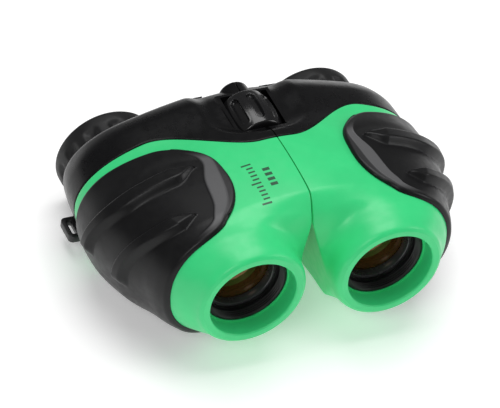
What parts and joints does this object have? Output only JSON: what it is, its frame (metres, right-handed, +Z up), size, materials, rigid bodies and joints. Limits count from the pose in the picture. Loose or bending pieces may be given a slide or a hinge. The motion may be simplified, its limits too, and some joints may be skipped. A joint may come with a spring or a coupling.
{
  "type": "compact binoculars",
  "caption": "Compact folding binoculars with a two-part shell, rubber side grips, central focus wheel, wide-set rubber eyecups and hooded objectives.",
  "frame": {"origin": "bottom centre of the bounding box: on the seam plane, midway between the front of the objective hoods and the back of the longer, right eyecup, on the plane the binoculars rest on", "axes": "+X to the user's right, +Y from the objectives towards the eyepieces along the optical axes, +Z up; the seam between the halves is the plane X = 0"},
  "size_m": [0.1166, 0.0872, 0.0516],
  "materials": {
    "shell_plastic": "satin bright green moulded plastic",
    "cover_plastic": "satin black moulded plastic",
    "grip_rubber": "smooth black rubber with a soft sheen",
    "eyecup_rubber": "matte black rubber",
    "inner_plastic": "matte black plastic",
    "coated_glass": "polished glass with an amber coating",
    "clear_glass": "polished optical glass",
    "grey_plastic": "dark grey plastic",
    "wheel_plastic": "semi-gloss black plastic",
    "steel": "bright zinc-plated steel"
  },
  "bodies": {
    "left_half": {"left_shell": "shell_plastic", "left_cover": "cover_plastic", "left_grip": "grip_rubber", "left_objective_tube": "inner_plastic", "left_objective_lens": "coated_glass", "left_objective_ring": "grey_plastic", "left_prism_frame": "grey_plastic", "left_prism_rear": "clear_glass", "left_prism_front": "clear_glass", "left_frame_screws": "steel", "left_lug": "cover_plastic", "hinge_shaft": "steel", "shaft_clips": "steel"},
    "right_half": {"right_shell": "shell_plastic", "right_cover": "cover_plastic", "right_grip": "grip_rubber", "right_objective_tube": "inner_plastic", "right_objective_lens": "coated_glass", "right_objective_ring": "grey_plastic", "right_prism_frame": "grey_plastic", "right_prism_rear": "clear_glass", "right_prism_front": "clear_glass", "right_frame_screws": "steel", "right_lug": "cover_plastic"},
    "focus_wheel": {"focus_wheel": "wheel_plastic", "focus_screw": "steel"},
    "left_eyepiece": {"left_bridge": "grey_plastic", "left_bridge_screws": "steel", "left_eye_barrel": "inner_plastic", "left_eyecup": "eyecup_rubber", "left_field_lens": "clear_glass", "left_eye_lens": "clear_glass", "left_lens_ring": "grey_plastic"},
    "right_eyepiece": {"right_bridge": "grey_plastic", "right_bridge_screws": "steel", "right_eye_barrel": "inner_plastic", "right_eyecup": "eyecup_rubber"},
    "dioptre_ring": {"dioptre_ring": "inner_plastic"},
    "dioptre_cell": {"dioptre_cell": "inner_plastic", "right_field_lens": "clear_glass", "right_eye_lens": "clear_glass", "right_lens_ring": "grey_plastic"}
  },
  "joints": [
    {"name": "fold", "type": "hinge", "parent": "left_half", "child": "right_half", "pos_m": [0, 0, 0.042], "axis": [0, 1, 0], "range_deg": [0, 28]},
    {"name": "focus_turn", "type": "hinge", "parent": "left_half", "child": "focus_wheel", "pos_m": [0, 0.0137, 0.042], "axis": [0, 1, 0], "range_deg": [-150, 150]},
    {"name": "left_focus_slide", "type": "slide", "parent": "left_half", "child": "left_eyepiece", "axis": [0, 1, 0], "range_m": [-0.0012, 0.0012]},
    {"name": "right_focus_slide", "type": "slide", "parent": "right_half", "child": "right_eyepiece", "axis": [0, 1, 0], "range_m": [-0.0012, 0.0012]},
    {"name": "dioptre_turn", "type": "hinge", "parent": "right_eyepiece", "child": "dioptre_ring", "pos_m": [0.034, 0.0327, 0.0164], "axis": [0, 1, 0], "range_deg": [-60, 60]},
    {"name": "dioptre_slide", "type": "slide", "parent": "right_eyepiece", "child": "dioptre_cell", "axis": [0, 1, 0], "range_m": [-0.0006, 0.0006]}
  ],
  "couplings": [
    {"joint": "left_focus_slide", "follows": "focus_turn", "m_per_rad": 0.0004579},
    {"joint": "right_focus_slide", "follows": "focus_turn", "m_per_rad": 0.0004579},
    {"joint": "dioptre_slide", "follows": "dioptre_turn", "m_per_rad": 0.0005724}
  ]
}
